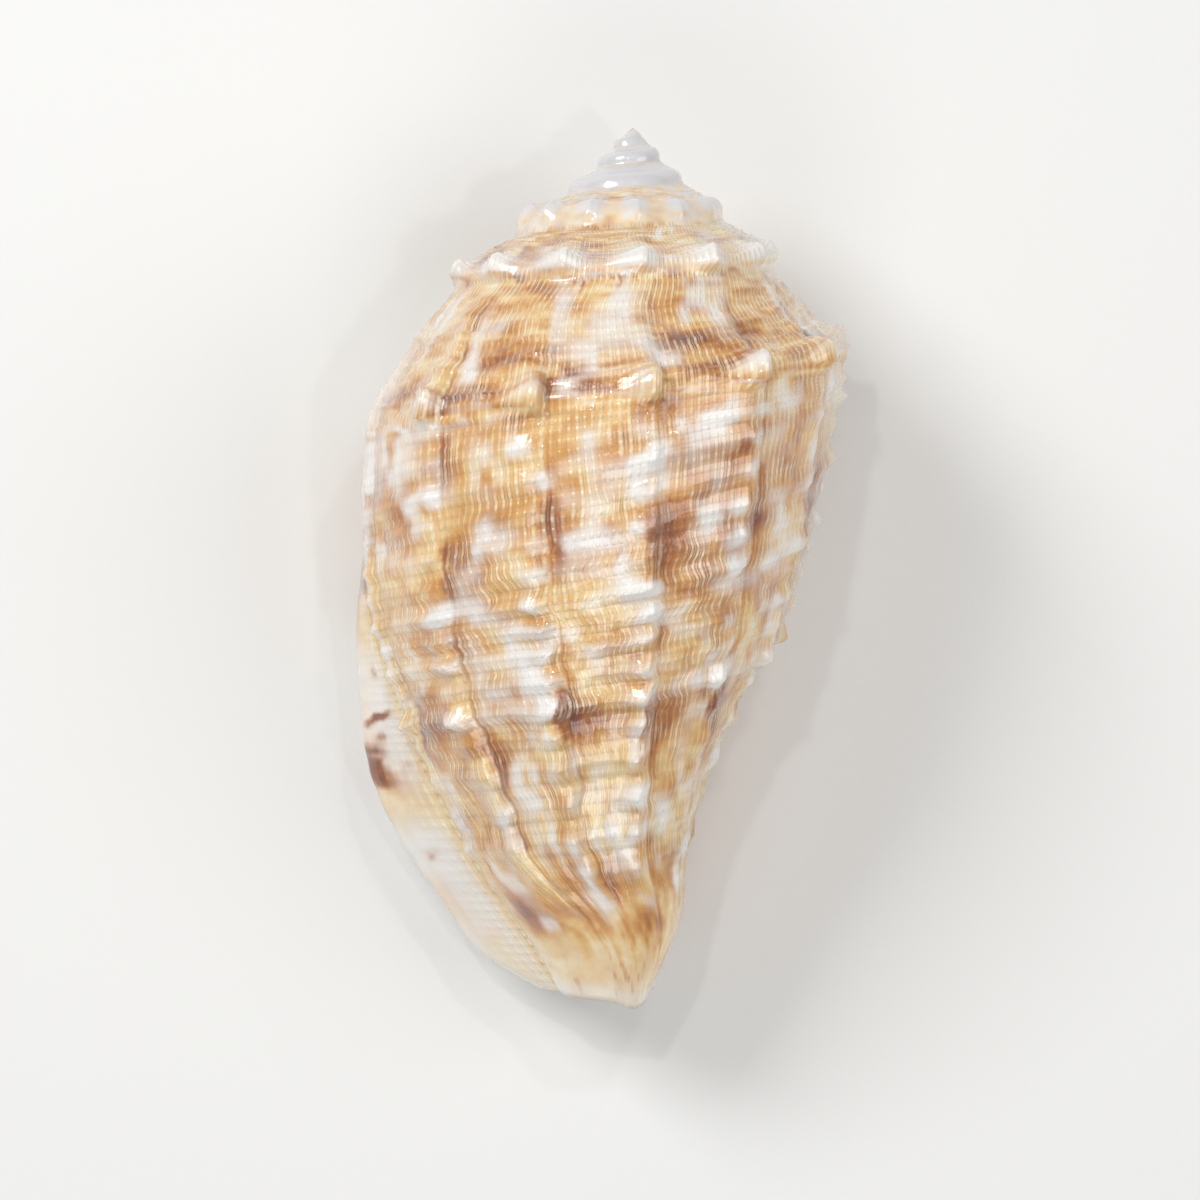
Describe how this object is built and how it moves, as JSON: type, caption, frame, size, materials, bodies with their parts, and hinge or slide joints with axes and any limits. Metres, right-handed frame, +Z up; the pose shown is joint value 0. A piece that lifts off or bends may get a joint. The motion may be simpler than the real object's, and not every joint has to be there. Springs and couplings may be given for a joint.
{
  "type": "morum dennisoni shell",
  "caption": "Ribbed and beaded sea snail shell with a low stepped spire, a thick toothed lip and a long narrow aperture, lying aperture down.",
  "frame": {"origin": "centre of the shell's bounding box, on the surface that the shell lies on", "axes": "+Y towards the apex of the spire, +Z up, away from the aperture, +X to the right of the back of the shell, so the outer lip is towards -X"},
  "size_m": [0.0282, 0.05, 0.0238],
  "materials": {
    "shell": "gloss"
  },
  "bodies": {
    "root": {"shell": "shell"}
  },
  "joints": []
}
